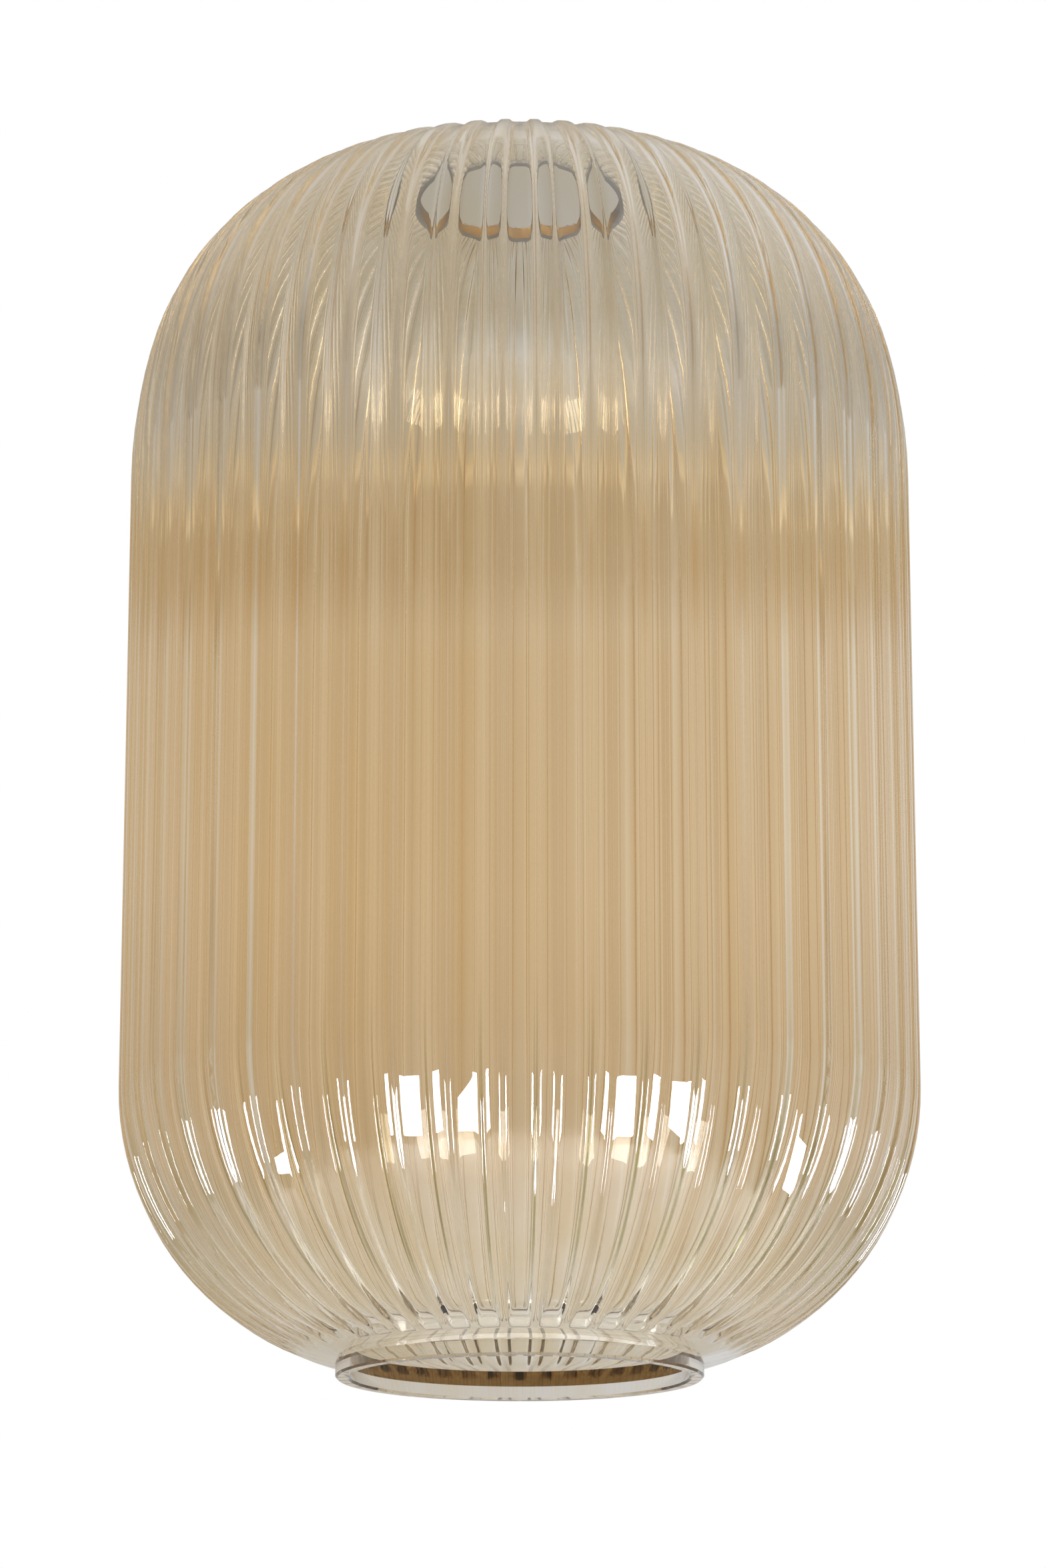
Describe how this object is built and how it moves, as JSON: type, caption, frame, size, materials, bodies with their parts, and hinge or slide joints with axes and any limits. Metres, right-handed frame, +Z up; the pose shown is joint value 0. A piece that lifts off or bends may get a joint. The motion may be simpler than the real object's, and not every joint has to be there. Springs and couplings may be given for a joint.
{
  "type": "glass lamp shade",
  "caption": "Capsule-shaped fluted glass lamp shade in one piece: 48 outside ribs run from a clear collar round the open mouth, over the rounded shoulder, straight side and dome, to a fitter hole in the crown.",
  "frame": {"origin": "centre of the collar's end face, the open lower mouth", "axes": "+Z up the shade's axis from the mouth to the fitter hole in the crown; -Y is the side seen from the front, with the middle of a flute on it"},
  "size_m": [0.2196, 0.2196, 0.346],
  "materials": {
    "amber_glass": "gloss"
  },
  "bodies": {
    "root": {"glass_shade": "amber_glass"}
  },
  "joints": []
}
